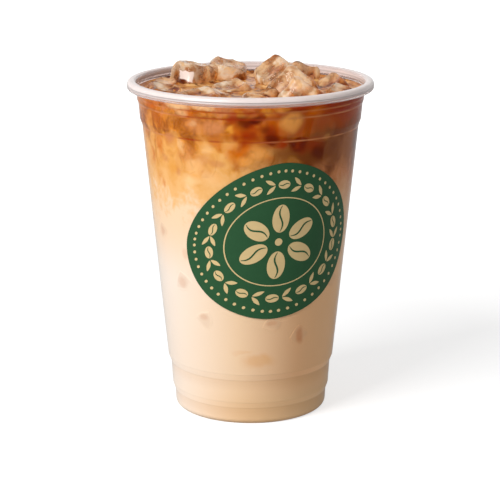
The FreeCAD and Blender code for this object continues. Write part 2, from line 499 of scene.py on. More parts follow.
MAUVE_SPOTS = (
    (-19, 122.4, 6.2, 0.7, 0.9), (-29.8, 121.8, 6, 0.7, 0.6), (-13.7, 129.6, 4.5, 0.45, 0.9),
    (-44.9, 116.4, 3.4, 0.9, 0.9), (-36, 110.6, 5.5, 0.9, 0.5), (-25.8, 109, 4.6, 0.8, 0.4),
    (-42.6, 102.8, 2.6, 1.0, 0.6), (62, 111, 9, 1.4, 0.35), (-25.9, 104.3, 1.0, 0.7, 0.8),
    (-27.4, 99.5, 0.9, 0.8, 0.7), (-16.4, 104.4, 0.9, 0.8, 0.8), (-13.8, 111.1, 0.9, 0.8, 0.8),
    (-62, 76.8, 2.4, 1.2, 0.3), (-46, 58.4, 3.2, 0.8, 0.25), (14, 43.6, 2.8, 0.6, 0.35),
    (33.6, 36.9, 2.8, 1.9, 0.7), (-41.6, 70, 2.6, 1.0, 0.2), (-18, 108.5, 4, 0.6, 0.5),
    (-52, 108, 2.6, 0.9, 0.5), (-30, 44.4, 2.6, 0.8, 0.25),
)
RUST_SPOTS = (
    (11.2, 119.4, 5.5, 1.1, 1.0), (-1, 119, 7, 0.6, 1.0), (-3, 116, 4.5, 0.7, 0.8),
    (-8, 118.6, 3.5, 0.8, 0.8), (-10, 125.5, 4.5, 0.8, 0.9), (5.4, 126.2, 4, 0.6, 0.9),
    (1.5, 122.5, 5.5, 1.0, 0.9), (16.5, 116.2, 5, 0.8, 0.95), (27, 114.5, 6, 0.8, 0.8),
    (25, 119.8, 3.5, 0.6, 0.6), (-5, 107.5, 6, 0.5, 0.35), (-47, 128.6, 5, 0.25, 0.5),
    (37.5, 123, 5.5, 1.2, 0.5), (35, 114, 6, 0.7, 0.7), (-1, 128.6, 6, 0.2, 0.5),
)
GOLD_SPOTS = (
    (5, 27.4, 9.5, 0.35, 0.3), (-47, 105, 4, 1.2, 0.5), (-12, 106, 4, 0.7, 0.4), (-6, 31, 6, 0.3, 0.15),
    (20, 60, 9, 0.5, 0.12), (-60, 102, 5, 1.5, 0.25), (-5.1, 126.9, 2.4, 0.8, 0.9),
    (-10.8, 121.2, 2.6, 1.0, 0.9), (8, 127.6, 3.6, 0.7, 0.9), (-8, 111.4, 3.4, 0.7, 0.25),
    (-51, 117.5, 2.4, 1.0, 0.6), (-24, 114.2, 5.5, 0.7, 0.7), (-38.5, 113, 3.6, 1.3, 0.7),
    (23, 107, 6, 0.5, 0.3), (15.3, 129.6, 6, 0.25, 0.6), (3.7, 122.3, 1.7, 0.8, 0.5),
    (-56, 106, 4, 1.3, 0.3),
)
CREAM_SPOTS = (
    (-39.2, 129.6, 9, 0.28, 0.95), (-23.8, 129.9, 7, 0.28, 0.95), (-36.4, 126.7, 4, 0.6, 0.55),
    (-38.4, 112.7, 2.6, 1.4, 0.6), (-30.3, 105.5, 5.5, 0.8, 0.9), (-23.7, 114.2, 4, 0.8, 0.5),
    (-34, 100.4, 5, 0.8, 0.8), (-21.8, 101.3, 5.5, 0.7, 0.9), (-29.8, 121.8, 2.5, 0.8, 0.4),
    (3.7, 112, 3, 0.7, 0.3),
)
DARK_SPOTS = (
    (-3, 124.3, 6.2, 0.8, 0.85), (2.2, 125.3, 4.5, 0.5, 1.0), (8, 121.4, 2.6, 0.8, 0.6),
    (11.3, 118.3, 4, 0.9, 0.9), (22, 115, 2.8, 1.2, 0.95), (28, 114.6, 2.8, 1.2, 0.8),
    (25, 117, 3, 0.5, 0.7), (25, 112.4, 3.4, 0.5, 0.8), (38, 110.6, 5, 0.7, 0.7),
    (47, 111.5, 5, 0.9, 0.5),
)
PALE_SPOTS = (
    (20.6, 124.6, 6.2, 0.85, 0.95), (4.2, 112.4, 5.5, 0.7, 0.75), (-30.3, 105, 6, 0.9, 0.5),
    (14.7, 129.6, 1.8, 0.6, 0.6), (-2, 109.6, 5, 0.5, 0.7), (42, 116, 2.4, 0.8, 0.35),
    (-21, 102, 6, 0.7, 0.4), (-43, 125, 5, 0.5, 0.2),
)


FAR_SIDE = (88, 272)         # bearings between which the far side lies, and heights of its spots
FAR_SPOTS = (109, 127)


def spots_behind(seed, count, radius, tall, amount):
    """Spots of the same kind around the far side of the cup."""
    draw = random.Random(seed)
    start, end = FAR_SIDE
    spots = []
    for k in range(count):
        bearing = start + (end - start) * (k + draw.random()) / count
        height = draw.uniform(*FAR_SPOTS)
        spots.append((bearing, height, draw.uniform(*radius), draw.uniform(*tall), amount))
    return tuple(spots)


# Where the drink's colours change, in millimetres.
SIDE_SPAN = 84               # width over which the drink changes from left to right, partly with painted light and shade
FOOT_FADE = (22, 4)          # heights between which each of these sets in
WARM_FADE = (56, 96)
SWIRL_FADE = (54, 94)
THREAD_FADE = (98, 114)
SWIRLS_FROM = 86             # height and span over which the swirls run through their colours
SWIRLS_SPAN = 60
LEDGE_SHADE = 5.5            # how far down the painted shade under a lower ledge reaches
LEDGE_PAINTED_LIGHT = 0.92            # painted light on a lower ledge's slope, undoing its shade: the share that the colour is divided by there
LEDGE_SHADE_LINE = (0.5, 0.15)     # half width of the painted shade line along an upper ledge, with and without its soft edge
LEDGE_SHADE_AMOUNTS = (0.85, 0.8, 0.6)


def coffee_colour(tree, drink):
    """Coffee sinking into milk: cream below, amber flames above, dark cores and pale ice behind the wall."""
    place = tree.place()
    slow = tree.warped(place, 12, 3.0)
    swirl = tree.warped(slow, 5, 2.0)
    height = tree.axis(place, "Z")
    side = (tree.axis(place, "X") / (SIDE_SPAN * MM) + 0.5).clamped()
    flames = tree.noise(tree.vector("MULTIPLY", swirl, (1, 1, 0.6)), 8, detail=3, rough=0.55)
    fine = tree.noise(swirl, 3, detail=2)

    colour = milky_part(tree, drink, height, side)
    upper = swirled_part(tree, drink, height, side, flames, fine)
    colour = tree.mix(height.rise_mm(*SWIRL_FADE), colour, upper)
    layers = (
        (swirl, 0.2, BROWN_SPOTS + spots_behind(5, 4, (8, 13), (1.0, 1.4), 0.5), drink.brown_colour),
        (swirl, 0.1, ORANGE_SPOTS + spots_behind(7, 8, (5, 9), (0.8, 1.2), 0.8), drink.orange_colour),
        (slow, 0.35, MAUVE_SPOTS + spots_behind(15, 6, (4, 7), (0.6, 1.0), 0.7), drink.mauve_colour),
        (swirl, 0.15, RUST_SPOTS + spots_behind(9, 5, (4, 7), (0.6, 1.2), 0.7), drink.rust_colour),
        (swirl, 0.3, GOLD_SPOTS + spots_behind(17, 6, (3, 5), (0.7, 1.2), 0.8), drink.gold_colour),
        (swirl, 0.3, CREAM_SPOTS, drink.cream_colour),
        (swirl, 0.25, DARK_SPOTS + spots_behind(11, 6, (3, 5), (0.8, 1.3), 0.8), drink.dark_colour),
        (slow, 0.35, PALE_SPOTS + spots_behind(13, 6, (5, 7), (0.8, 1.3), 0.6), drink.pale_colour),
    )
    for where, core, spots, shade in layers:
        covered = highest_of(patch(tree, where, core, *spot) for spot in spots)
        colour = tree.mix(covered * (0.75 + 0.45 * fine), colour, shade)
    colour = tree.mix(threads(tree, slow, height, flames) * 0.3, colour, drink.brown_colour)
    # Lines of painted shade along the upper ledges: dark rust on the left and in the middle, and paler mauve
    # as painted light at the edges.
    ledge_shade_colours = tree.ramp(side, (0.12, drink.mauve_colour), (0.22, drink.rust_colour),
                             (0.5, drink.rust_colour), (0.7, drink.mauve_colour))
    return tree.mix(ledge_shade_lines(height) * flames.rise(0.3, 0.55), colour, ledge_shade_colours)


def milky_part(tree, drink, height, side):
    """The milk below, tanner at the foot, with painted shade under the two lower ledges and painted light on
    their slopes.
    """
    # The milk is paler on the left and darker and more saturated on the right: partly its own colour, partly
    # painted light where the key light falls and painted shade away from it.
    milk = tree.ramp(side, (0.06, drink.milk_left_with_painted_light), (0.44, drink.milk_middle), (0.72, drink.milk_right_with_painted_shade),
                     (1.0, drink.milk_edge))
    colour = tree.mix(height.rise_mm(*FOOT_FADE) * side.rise(0.15, 0.6), milk, drink.foot_colour)
    warmed = height.rise_mm(*WARM_FADE) * side.rise(0.55, 0.05) * 0.55
    colour = tree.mix(warmed, colour, drink.golden_colour)
    for low, rise, _ in LOWER_STEPS:
        # Painted shade under each lower ledge, deeper on the right, and painted light on its slope.
        under = height.rise_mm(low - LEDGE_SHADE, low) * height.rise_mm(low + 0.7, low + 0.1)
        painted_light_slope = height.rise_mm(low, low + 0.6) * height.rise_mm(low + rise + 0.2, low + rise - 0.6)
        colour = tree.mix(under * (0.12 + 0.3 * side), colour, drink.foot_shade)
        colour = tree.mix(painted_light_slope, colour, (LEDGE_PAINTED_LIGHT,) * 3, "DIVIDE")
    return colour


def swirled_part(tree, drink, height, side, flames, fine):
    """The coffee above, livelier on the left and calmer on the right."""
    level = (height - SWIRLS_FROM * MM) / (SWIRLS_SPAN * MM)
    lively = level + (flames - 0.5) * 0.6 + (fine - 0.5) * 0.3
    calmer = level + (flames - 0.5) * 0.25 + (fine - 0.5) * 0.12
    left = tree.ramp(lively, (0.0, drink.milk_middle), (0.17, drink.golden_colour), (0.38, drink.half_mixed),
                     (0.52, drink.upper_left), (0.63, drink.mixed_dark), (0.7, drink.upper_left),
                     (0.78, drink.mauve_colour), (0.86, drink.upper_left), (0.95, drink.gold_colour))
    right = tree.ramp(calmer, (0.0, drink.milk_right_with_painted_shade), (0.22, drink.mauve_colour), (0.38, drink.brown_colour),
                      (0.5, drink.brown_colour), (0.6, drink.upper_right), (0.72, drink.rust_colour),
                      (0.8, drink.upper_right), (0.92, drink.orange_colour))
    return tree.mix(side.rise(0.4, 0.74), left, right)


def threads(tree, place, height, flames):
    """Thin threads of coffee near the top."""
    veins = tree.noise(tree.vector("MULTIPLY", place, (1, 1, 0.55)), 4.5, detail=5, rough=0.6)
    return (veins - 0.52).absolute().rise(0.03, 0.006) * height.rise_mm(*THREAD_FADE) * flames.rise(0.4, 0.55)


def ledge_shade_lines(height):
    """Thin lines of painted shade along the ledges of the upper wall."""
    lines = []
    for (depth, rise, _), amount in zip(UPPER_STEPS, LEDGE_SHADE_AMOUNTS):
        away = (height - (CUP_HEIGHT - depth - rise) * MM).absolute()
        lines.append(away.rise_mm(*LEDGE_SHADE_LINE) * amount)
    return highest_of(lines)


SUNK_FADE = (85, 100)        # heights between which sunk ice turns from its lower to its upper colour


def coffee_body(drink, ice):
    """The drink and the ice in it as they lie against the wall, with no gloss of their own."""
    made = bpy.data.materials.get("coffee_body")
    if made:
        return made
    tree = Tree("coffee_body")
    place = tree.place()
    depth = tree.node("ShaderNodeAttribute", {"attribute_name": "depth"}, output="Fac")
    cloud = tree.noise(place, 4, detail=3)
    clear = depth.rise(0.0, 1.0) * (0.2 + cloud).clamped()
    tint = tree.mix(tree.axis(place, "Z").rise_mm(*SUNK_FADE), ice.deep_colour, ice.sunk_colour)
    surface = tree.surface({
        "Base Color": tree.mix(clear * ice.sunk_clarity, coffee_colour(tree, drink), tint),
        "Roughness": 0.6,
        "Specular IOR Level": 0.0,
    })
    return tree.finish(surface)


def drink_top(drink):
    """The wet surface between the ice cubes, tan with brown edges and milky clouds."""
    tree = Tree("coffee_surface")
    place = tree.place()
    swirl = tree.warped(tree.warped(place, 14, 5), 6, 2.5)
    clouds = tree.noise(swirl, 9, detail=3)
    veins = tree.noise(swirl, 5, detail=2)
    colour = tree.ramp(clouds, (0.3, drink.surface_dark), (0.42, drink.surface_colour),
                       (0.5, drink.half_mixed), (0.56, drink.surface_colour), (0.66, drink.golden_colour))
    colour = tree.mix(veins.rise(0.52, 0.66) * 0.8, colour, drink.surface_dark)
    surface = tree.surface({
        "Base Color": colour,
        "Roughness": 0.1 + 0.15 * veins,
        "IOR": 1.34,
        "Specular IOR Level": 0.2,
        "Normal": tree.bump(veins, 0.15),
    })
    return tree.finish(surface)


# A painted highlight on the one facet that catches the light: its middle, half size and soft edge, in
# millimetres.
FLASH = (-26.0, 11.5, 133.1)
FLASH_HALF = (3.2, 6.0, 1.9)
FLASH_EDGE = 0.35
STAIN_FADE = (6, -1)         # heights over the drink's level between which the coffee's stain sets in


def wet_ice(ice):
    """Melting ice with a film of milky coffee over part of it, painted dark brown along its ridges in place
    of the coffee that rounded edges show by refraction, and one painted highlight.
    """
    tree = Tree("wet_ice")
    place = tree.place()
    dents = tree.noise(place, 5, detail=2)
    ripples = tree.noise(place, 1.8, detail=1)
    film = tree.noise(tree.warped(place, 6, 3), 6, detail=3)
    cracks = {"Vector": tree.warped(place, 4, 1.2), "Scale": 1 / (4.5 * MM)}
    facet = tree.axis(tree.node("ShaderNodeTexVoronoi", None, cracks, "Color"), "X")
    ridge = tree.node("ShaderNodeAttribute", {"attribute_name": "ridge"}, output="Fac")
    # Painted dark edges along the ridges, in place of the coffee that the clear ice shows by refraction at
    # its rounded edges.
    brown = (ridge.rise(0.45, 0.9) * (0.5 + 1.1 * dents) + (ripples - 0.5) * 0.2).clamped()
    stain = tree.axis(place, "Z").rise_mm(*(DRINK_LEVEL + height for height in STAIN_FADE))
    mixed = facet * 0.35 + (film - 0.5) * 1.1 + (dents - 0.5) * 0.5 + 0.38 - stain * 0.35
    tint = tree.ramp(mixed, (0.1, ice.ridge_colour), (0.25, ice.stain_colour), (0.6, ice.clear_colour))
    coat = tree.ramp(mixed, (0.0, ice.ridge_colour), (0.2, ice.stain_colour), (0.45, ice.film_colour),
                     (0.7, ice.pale_colour), (0.85, ice.film_colour))
    normal = tree.bump(dents + ripples * 0.2 + facet * 0.2, 0.35)
    clear = tree.surface({
        "Base Color": tree.mix(brown * 0.8, tint, ice.ridge_colour),
        "Roughness": 0.02 + 0.05 * dents,
        "IOR": 1.2,
        "Specular IOR Level": 0.4,
        "Transmission Weight": 1.0,
        "Normal": normal,
    })
    # Painted highlight on one facet, in opaque pale colour.
    painted_highlight = painted_highlight_facet(tree, place, dents)
    coat = tree.mix(brown * (1 - painted_highlight), tree.mix(painted_highlight, coat, ice.painted_highlight_colour), ice.ridge_colour)
    milky = tree.surface({
        "Base Color": coat,
        "Roughness": 0.08 + 0.1 * dents,
        "IOR": 1.31,
        "Specular IOR Level": 0.5,
        "Normal": normal,
    })
    covered = ice.film * (0.4 + film.rise(0.35, 0.65) + stain * 0.3)
    share = highest_of((covered, brown * 0.8, painted_highlight)).clamped()
    return tree.finish_clear(tree.blend(share, clear, milky), ice.clear_colour)


def painted_highlight_facet(tree, place, dents):
    """A mask of the painted highlight on the facet that catches the light, a little uneven at its edges."""
    facet = 1.0
    for axis, middle, half in zip("XYZ", FLASH, FLASH_HALF):
        away = (tree.axis(place, axis) - middle * MM + (dents - 0.5) * (3 * MM)).absolute()
        facet = away.rise_mm(half + FLASH_EDGE, half - FLASH_EDGE) * facet
    return facet


def print_ink(name, colour, worn):
    """Ink on plastic, a little uneven where it was laid on; worn is how dark its thicker parts are."""
    tree = Tree(name)
    mottle = tree.noise(tree.place(), 4, detail=4, rough=0.65)
    surface = tree.surface({
        "Base Color": tree.mix(mottle, colour, darker(colour, worn)),
        "Roughness": 0.42 + 0.18 * mottle,
        "Specular IOR Level": 0.12,
        "Normal": tree.bump(mottle, 0.02),
    })
    return tree.finish(surface)


FLOOR_LIFT = 0.66            # glow that makes the floor look white near the cup and still keeps its shadow
FLOOR_FAR = (120, 600)       # distances between which the glow grows to full
FLOOR_IN_GLOSS = 0.25        # share of the glow that gloss mirrors, so that it lays no veil over the drink


def floor_finish(colour):
    """Plain pale floor."""
    tree = Tree("pale_floor")
    place = tree.place()
    colour = tree.mix(tree.noise(place, 30, detail=2), colour, darker(colour, 0.99))
    lit = {"Base Color": colour, "Roughness": 0.9, "Specular IOR Level": 0.1}
    lift = tree.mix(tree.length(place).rise_mm(*FLOOR_FAR), (FLOOR_LIFT,) * 3, WHITE)
    lifted = tree.surface({**lit, "Emission Color": lift, "Emission Strength": 1.0})
    share = tree.rays("Camera", "Transmission").highest(tree.rays("Glossy") * FLOOR_IN_GLOSS)
    return tree.finish(tree.blend(share, tree.surface(lit), lifted))


# ---- settings ---------------------------------------------------------------------------------------
def colour_setting(name, description, default):
    return FloatVectorProperty(name=name, description=description, default=default, size=3, min=0.0, max=1.0,
                               subtype="COLOR")


class CupSettings(bpy.types.PropertyGroup):
    wall_colour: colour_setting("Wall colour", "Tint of the clear wall", (0.985, 0.98, 0.975))
    rim_colour: colour_setting("Rim colour", "Milky colour of the rolled rim", srgb(238, 226, 222))
    groove_colour: colour_setting("Groove colour", "Shade in the rim's fine groove", srgb(160, 148, 146))
    rim_milk: FloatProperty(name="Rim milkiness", description="How milky the rolled rim looks", default=0.74,
                            min=0.0, max=1.0, subtype="FACTOR")


class DrinkSettings(bpy.types.PropertyGroup):
    # Milk, left and right: partly the drink's own colour, partly painted light on the left and painted shade
    # on the right.
    milk_left_with_painted_light: colour_setting("Milk, left", "Milky coffee on the left", srgb(247, 234, 222))
    milk_middle: colour_setting("Milk, middle", "Milky coffee in the middle", srgb(245, 211, 174))
    milk_right_with_painted_shade: colour_setting("Milk, right", "Milky coffee on the right", srgb(232, 182, 136))
    milk_edge: colour_setting("Milk, far right", "Milky coffee at the far right", srgb(250, 202, 150))
    foot_colour: colour_setting("Foot", "Milky coffee at the bottom", srgb(234, 194, 148))
    # Painted shade under the lower ledges.
    foot_shade: colour_setting("Foot shade", "Milky coffee just under the lower ledges", srgb(204, 156, 110))
    golden_colour: colour_setting("Golden", "Coffee starting to mix with milk", srgb(240, 184, 118))
    half_mixed: colour_setting("Half mixed", "Coffee half mixed with milk", srgb(230, 164, 86))
    upper_left: colour_setting("Upper left", "Coffee at the top on the left", srgb(206, 124, 40))
    mixed_dark: colour_setting("Streaks", "Darker streaks at the top on the left", srgb(160, 84, 24))
    upper_right: colour_setting("Upper right", "Coffee at the top on the right", srgb(174, 72, 2))
    brown_colour: colour_setting("Brown", "Coffee in the shade of the ice", srgb(124, 60, 14))
    orange_colour: colour_setting("Orange", "Thin coffee with light behind it", srgb(208, 100, 0))
    rust_colour: colour_setting("Rust", "Denser coffee with light behind it", srgb(158, 44, 0))
    mauve_colour: colour_setting("Mauve", "Coffee with ice behind it", srgb(208, 132, 80))
    gold_colour: colour_setting("Gold", "The thinnest coffee", srgb(226, 150, 52))
    cream_colour: colour_setting("Cream", "Milk that has risen along the wall", srgb(246, 202, 146))
    dark_colour: colour_setting("Dark", "Unmixed coffee", srgb(92, 12, 0))
    pale_colour: colour_setting("Pale", "Milk film on ice behind the wall", srgb(242, 164, 76))
    surface_colour: colour_setting("Surface", "The drink's top", srgb(184, 112, 60))
    surface_dark: colour_setting("Surface edges", "Darker swirls of the drink's top", srgb(104, 48, 16))


class IceSettings(bpy.types.PropertyGroup):
    clear_colour: colour_setting("Clear ice", "Ice above the drink", srgb(244, 228, 204))
    stain_colour: colour_setting("Stained ice", "Ice with coffee on it", srgb(200, 136, 76))
    film_colour: colour_setting("Film", "Milky coffee that clings to the ice", srgb(240, 198, 148))
    pale_colour: colour_setting("Frost", "Where a cube is still frosted", srgb(250, 232, 206))
    # A painted highlight on one facet of the left cube.
    painted_highlight_colour: colour_setting("Bright facet", "A facet that catches the light", srgb(236, 218, 208))
    # Dark brown painted along the ridges, in place of the coffee seen by refraction at rounded edges; also
    # the darkest tone of the ice.
    ridge_colour: colour_setting("Ridges", "Coffee along the edges of a cube", srgb(98, 42, 6))
    film: FloatProperty(name="Film", description="How much of a cube the film covers", default=0.44,
                        min=0.0, max=1.0, subtype="FACTOR")
    sunk_colour: colour_setting("Upper sunk ice", "Ice behind the wall, high up", srgb(200, 128, 72))
    deep_colour: colour_setting("Lower sunk ice", "Ice behind the milky part", srgb(196, 158, 130))
    sunk_clarity: FloatProperty(name="Sunk clarity", description="How clearly sunk ice shows in the drink",
                                default=0.28, min=0.0, max=1.0, subtype="FACTOR")
    melt: FloatProperty(name="Melt", description="How far the faces of a cube have melted unevenly",
                        default=0.55 * MM, min=0.0, max=1.5 * MM, unit="LENGTH", precision=5)


class PrintSettings(bpy.types.PropertyGroup):
    field_colour: colour_setting("Field", "Green of the printed field", srgb(44, 86, 54))
    line_colour: colour_setting("Motifs", "Gold of the beans and dots", srgb(222, 194, 140))
    bearing: FloatProperty(name="Bearing", description="Middle of the field, to the right of the front",
                           default=math.radians(16), subtype="ANGLE")
    height: FloatProperty(name="Height", description="Height of the field's middle", default=76.7 * MM,
                          unit="LENGTH", precision=4)
    half_width: FloatProperty(name="Half width", description="Half the field's width along the wall",
                              default=37.5 * MM, unit="LENGTH", precision=4)
    half_height: FloatProperty(name="Half height", description="Half the field's height", default=31.5 * MM,
                               unit="LENGTH", precision=4)
    beans: IntProperty(name="Beans", description="Beans in the rosette", default=6, min=3, max=12)
    leaves: IntProperty(name="Leaves", description="Pairs of leaves around the rosette", default=14,
                        min=4, max=30)
    dots: IntProperty(name="Dots", description="Dots in the ring", default=56, min=8, max=90)


class StageSettings(bpy.types.PropertyGroup):
    key_power: FloatProperty(name="Key light", description="Power of the large light on the left",
                             default=16.5, min=0.0, unit="POWER")
    fill_power: FloatProperty(name="Fill light", description="Power of the light on the right",
                              default=0.8, min=0.0, unit="POWER")
    ambient: FloatProperty(name="Ambient", description="Strength of the light from all around", default=0.3,
                           min=0.0, max=2.0)
    floor_colour: colour_setting("Floor", "Colour of the floor", (0.55, 0.55, 0.55))


# ---- operators --------------------------------------------------------------------------------------
class ICEDCOFFEE_OT_cup(bpy.types.Operator):
    """Build the thin cup with its steps and rolled rim"""
    bl_idname = "iced_coffee.cup"
    bl_label = "Cup"

    def execute(self, context):
        settings = context.scene.iced_coffee_cup
        outside = cup_corners()
        milky_from = DRINK_LEVEL + MENISCUS
        line = split(rounded(outside), milky_from) + split(rounded(shifted(outside, WALL)), milky_from)[::-1]
        mesh = turned("clear_cup", line)
        cup = add_object("clear_cup", mesh, clear_plastic(settings), milky_plastic(settings))
        for face in mesh.polygons:
            face.material_index = int(face.center.z > milky_from * MM)
        facing_out(mesh)
        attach(cup, "root")
        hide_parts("cup")
        return {"FINISHED"}


def facing_out(mesh):
    """Turns every face of a closed mesh outwards."""
    shell = bmesh.new()
    shell.from_mesh(mesh)
    bmesh.ops.recalc_face_normals(shell, faces=shell.faces)
    shell.to_mesh(mesh)
    shell.free()


def floating_names():
    return sorted(name for name in frame["nodes"] if name.startswith("ice_"))


WORN_ROUND = {"ice_left": 0.45, "ice_back": 0.25, "ice_peak": 0.25, "ice_front": 0.2}
WORN_LITTLE = 0.1            # how far the other cubes are worn round
ICE_GRAIN = 0.5              # size of the even faces that a cube is divided into, in mm
MELT_SIZE = 8                # how far apart the large and the fine dents of a melted face lie, in mm
FINE_MELT_SIZE = 2.6
SHARP_BEND = 0.12            # bend over one grain that counts as a full ridge


def worn_round(mesh, amount):
    """Draws a cube's corners in towards an egg of the same size."""
    low, high = box_of([vertex.co for vertex in mesh.vertices])
    middle, half = (low + high) / 2, (high - low) / 2
    for vertex in mesh.vertices:
        local = vertex.co - middle
        spread = math.sqrt(sum((local[k] / half[k]) ** 2 for k in range(3)))
        vertex.co = middle + local * (1 - amount * (1 - 1 / max(spread, 1.0)))


def melted(name, seed, depth):
    """A copy of a cube's solid with worn edges and unevenly melted faces."""
    source = frame["nodes"][name]
    piece = add_object(f"melted_{name}", source.data.copy())
    piece.data.materials.clear()
    remesh = piece.modifiers.new("even", "REMESH")
    remesh.mode = "VOXEL"
    remesh.voxel_size = ICE_GRAIN * MM
    wear = piece.modifiers.new("wear", "SMOOTH")
    wear.factor = 0.5
    wear.iterations = 2
    settle(piece)
    worn_round(piece.data, WORN_ROUND.get(name, WORN_LITTLE))
    shift = Vector((seed * 7.3, seed * 3.1, seed * 5.7))
    normals = [vertex.normal.copy() for vertex in piece.data.vertices]
    for vertex, normal in zip(piece.data.vertices, normals):
        large = noise.noise(vertex.co / (MELT_SIZE * MM) + shift)
        fine = noise.noise(vertex.co / (FINE_MELT_SIZE * MM) + shift)
        vertex.co += normal * (0.2 * fine - 2.2 * abs(large)) * depth
    piece.data.update()
    mark_ridges(piece.data, normals)
    return piece


def mark_ridges(mesh, normals):
    """Keeps how sharply each part of a cube bends outwards, from 0 to 1, as an attribute."""
    neighbours = [[] for _ in mesh.vertices]
    for edge in mesh.edges:
        a, b = edge.vertices
        neighbours[a].append(b)
        neighbours[b].append(a)
    places = [vertex.co.copy() for vertex in mesh.vertices]
    bends = []
    for place, normal, near in zip(places, normals, neighbours):
        middle = sum((places[n] for n in near), Vector()) / len(near)
        bends.append((place - middle).dot(normal) / (ICE_GRAIN * MM))
    for _ in range(2):
        bends = [(bend + sum(bends[n] for n in near)) / (1 + len(near))
                 for bend, near in zip(bends, neighbours)]
    ridges = [max(0.0, min(1.0, bend / SHARP_BEND)) for bend in bends]
    mesh.attributes.new("ridge", "FLOAT", "POINT").data.foreach_set("value", ridges)


class ICEDCOFFEE_OT_ice(bpy.types.Operator):
    """Build the ice cubes that float at the top"""
    bl_idname = "iced_coffee.ice"
    bl_label = "Floating ice"

    def execute(self, context):
        settings = context.scene.iced_coffee_ice
        finish = wet_ice(settings)
        for seed, name in enumerate(floating_names()):
            piece = melted(name, seed, settings.melt)
            piece.data.materials.append(finish)
            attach(piece, "root")
            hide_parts(name)
        return {"FINISHED"}


SURFACE_STEP = 0.55          # spacing of the points of the drink's top, in mm
SURFACE_SWELL = 0.12
SURFACE_SWELL_SIZE = 7


def surface_height(x, y, ice):
    """The drink's top over one point, in metres: dipping under the ice and climbing a little beside it."""
    level = DRINK_LEVEL * MM
    reach = 4 * MENISCUS_REACH * MM
    nearest = None
    for tree, low, high in ice:
        if not (low.x - reach < x < high.x + reach and low.y - reach < y < high.y + reach):
            continue
        under = tree.ray_cast(Vector((x, y, 0.0)), Vector((0, 0, 1)))[0]
        over = tree.ray_cast(Vector((x, y, 1.0)), Vector((0, 0, -1)))[0]
        if under is not None and under.z < level < over.z:
            return under.z + REACH_INTO_WALL * MM
        found = tree.find_nearest(Vector((x, y, level)), reach)
        if found[0] is not None:
            nearest = found[3] if nearest is None else min(nearest, found[3])
    climb = MENISCUS * math.exp(-nearest / (MENISCUS_REACH * MM)) if nearest is not None else 0.0
    edge = wall_radius(DRINK_LEVEL, WALL) - math.hypot(x, y) / MM
    climb = max(climb, MENISCUS * math.exp(-max(edge, 0.0) / MENISCUS_REACH))
    swell = SURFACE_SWELL * noise.noise(Vector((x, y, 0)) / (SURFACE_SWELL_SIZE * MM))
    return level + (climb + swell) * MM


class ICEDCOFFEE_OT_drink(bpy.types.Operator):
    """Build the drink, which fills the cup up to its level"""
    bl_idname = "iced_coffee.drink"
    bl_label = "Drink"

    def execute(self, context):
        scene = context.scene
        ice = []
        for name in floating_names():
            body = bpy.data.objects[f"melted_{name}"].data
            places = [vertex.co for vertex in body.vertices]
            tree = BVHTree.FromPolygons(places, [face.vertices for face in body.polygons])
            ice.append((tree, *box_of(places)))
        inside = shifted(cup_corners(), WALL - REACH_INTO_WALL)
        side = [p for p in rounded(inside[:-ROLL_CORNERS]) if p.y < DRINK_LEVEL]
        rim_radius = wall_radius(DRINK_LEVEL + MENISCUS, WALL - REACH_INTO_WALL)
        side.append(Vector((rim_radius, DRINK_LEVEL + MENISCUS)))
        rings = int(rim_radius / SURFACE_STEP)
        top = [Vector((rim_radius * (rings - k) / rings, DRINK_LEVEL + 1)) for k in range(1, rings + 1)]
        mesh = turned("drink_body", side + top)
        first = 1 + (len(side) - 1) * ROUND_STEPS
        for vertex in mesh.vertices[first:]:
            vertex.co.z = surface_height(vertex.co.x, vertex.co.y, ice)
        for face in mesh.polygons:
            face.material_index = int(min(face.vertices) >= first - ROUND_STEPS)
        mesh.update()
        facing_out(mesh)
        against_wall = coffee_body(scene.iced_coffee_drink, scene.iced_coffee_ice)
        drink = add_object("drink_body", mesh, against_wall, drink_top(scene.iced_coffee_drink))
        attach(drink, "root")
        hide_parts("drink")
        return {"FINISHED"}


# Bearing and height of the middle of the face against the wall, size, and turn of each sunk cube.
UPPER_SUNK = (
    (20.6, 124, 11, (8, 6, 6)), (-22, 121.5, 14, (5, -12, -6)), (-36, 109.5, 12, (20, 10, 24)),
    (39, 121, 12, (-12, 6, 12)), (-45, 116.5, 8, (15, 0, 38)), (-25, 108, 10, (12, -18, 34)),
    (5, 111.5, 11, (6, 14, -20)), (48, 111, 12, (9, 10, 24)), (64, 110, 15, (0, 14, -20)),
    (104, 119, 16, (9, 4, 14)), (138, 112, 17, (4, -8, -22)), (170, 121, 15, (-10, 6, 9)),
    (205, 110, 17, (14, 0, 30)), (238, 120, 16, (6, 12, -12)), (268, 110, 15, (-9, 9, 20)),
)
LOWER_SUNK = (
    (-62, 77, 6, (20, 30, 10)), (-46, 58, 8, (35, 20, 30)), (-30, 44, 7, (10, 40, 55)),
    (14, 43.2, 6, (30, 30, 10)), (33.6, 37, 7, (15, 38, 8)), (61, 57, 6, (20, 30, 15)),
    (108, 62, 8, (30, 20, 20)), (150, 48, 8, (15, 35, 50)), (196, 66, 7, (30, 25, 10)),
    (242, 52, 8, (20, 40, 30)), (280, 80, 7, (35, 15, 20)),
)


SUNK_KINDS = (               # how far the cubes press into the wall and over how much they fade in, in mm
    ("sunk_ice_upper", UPPER_SUNK, 1.9, 1.6),
    ("sunk_ice_lower", LOWER_SUNK, 0.8, 1.2),
)
SUNK_CUTS = 23
SUNK_ROUND = 0.62            # radius of the ball that a sunk cube is half way to, as a share of its size
SUNK_MELT = 0.5
SUNK_MELT_SIZE = 4
SUNK_BELOW = 1.2             # how far under the drink's level the highest sunk ice ends
SUNK_IN_WALL = 0.08          # how far it reaches past the drink's side
SUNK_CREASE = math.radians(4)  # edges that turn by more look sharp


